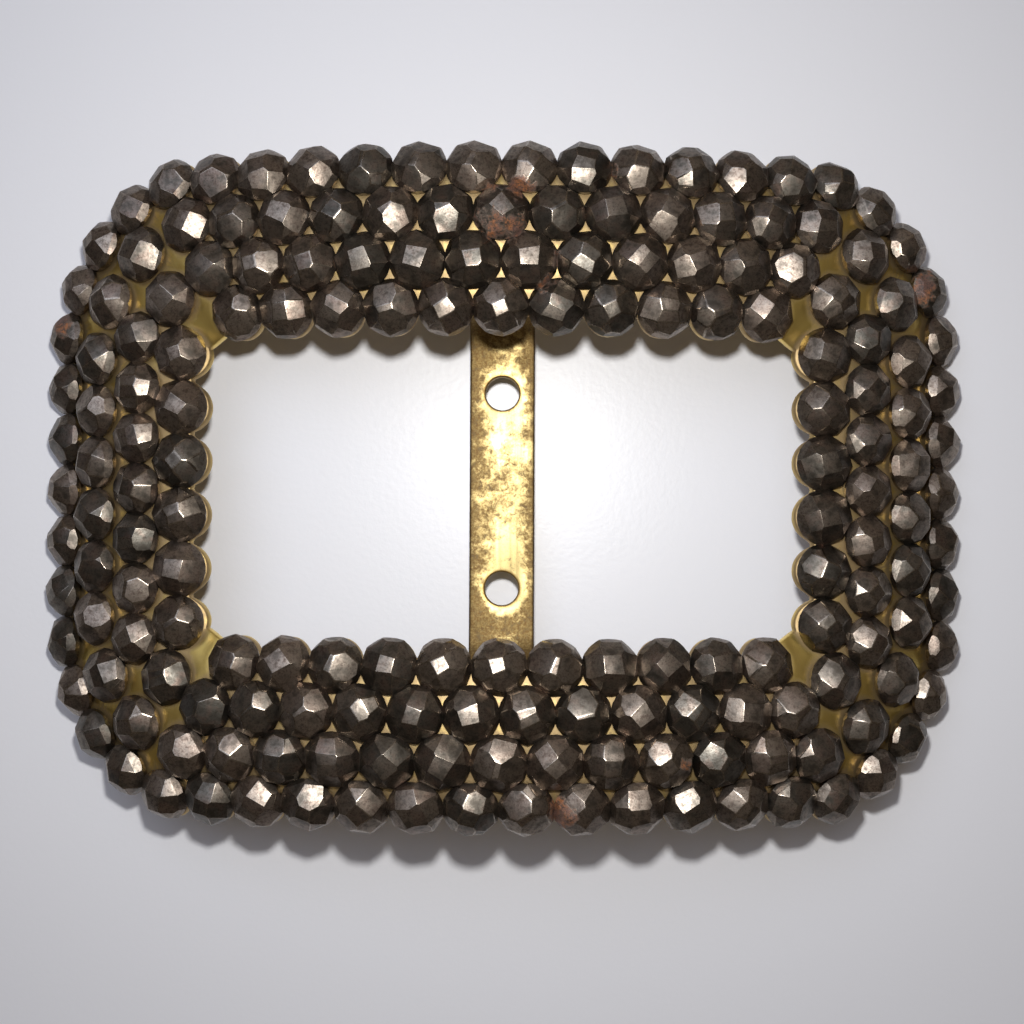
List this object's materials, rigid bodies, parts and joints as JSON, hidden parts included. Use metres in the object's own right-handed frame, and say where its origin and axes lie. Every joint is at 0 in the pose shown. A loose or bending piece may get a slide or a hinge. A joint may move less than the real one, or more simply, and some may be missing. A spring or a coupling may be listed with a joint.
{
  "type": "slider belt buckle",
  "caption": "Arched oblong slider belt buckle: a scalloped brass frame set with rows of faceted steel studs, with a flat brass bar across the window for the belt.",
  "frame": {"origin": "middle of the buckle's outline, at the level of the surface that its two ends rest on", "axes": "+X along the belt, +Y up the bar, +Z out of the studded face"},
  "size_m": [0.074, 0.0514, 0.0147],
  "materials": {
    "sheet_brass": "thin rolled sheet, domed and arched, dull with age",
    "bar_brass": "flat strip, rubbed bright along the middle",
    "cut_steel": "faceted and polished, browned with age, with a little rust"
  },
  "bodies": {
    "root": {"back_plate": "sheet_brass", "slider_bar": "bar_brass", "outer_studs": "cut_steel", "second_studs": "cut_steel", "third_studs": "cut_steel", "inner_studs": "cut_steel"}
  },
  "joints": []
}
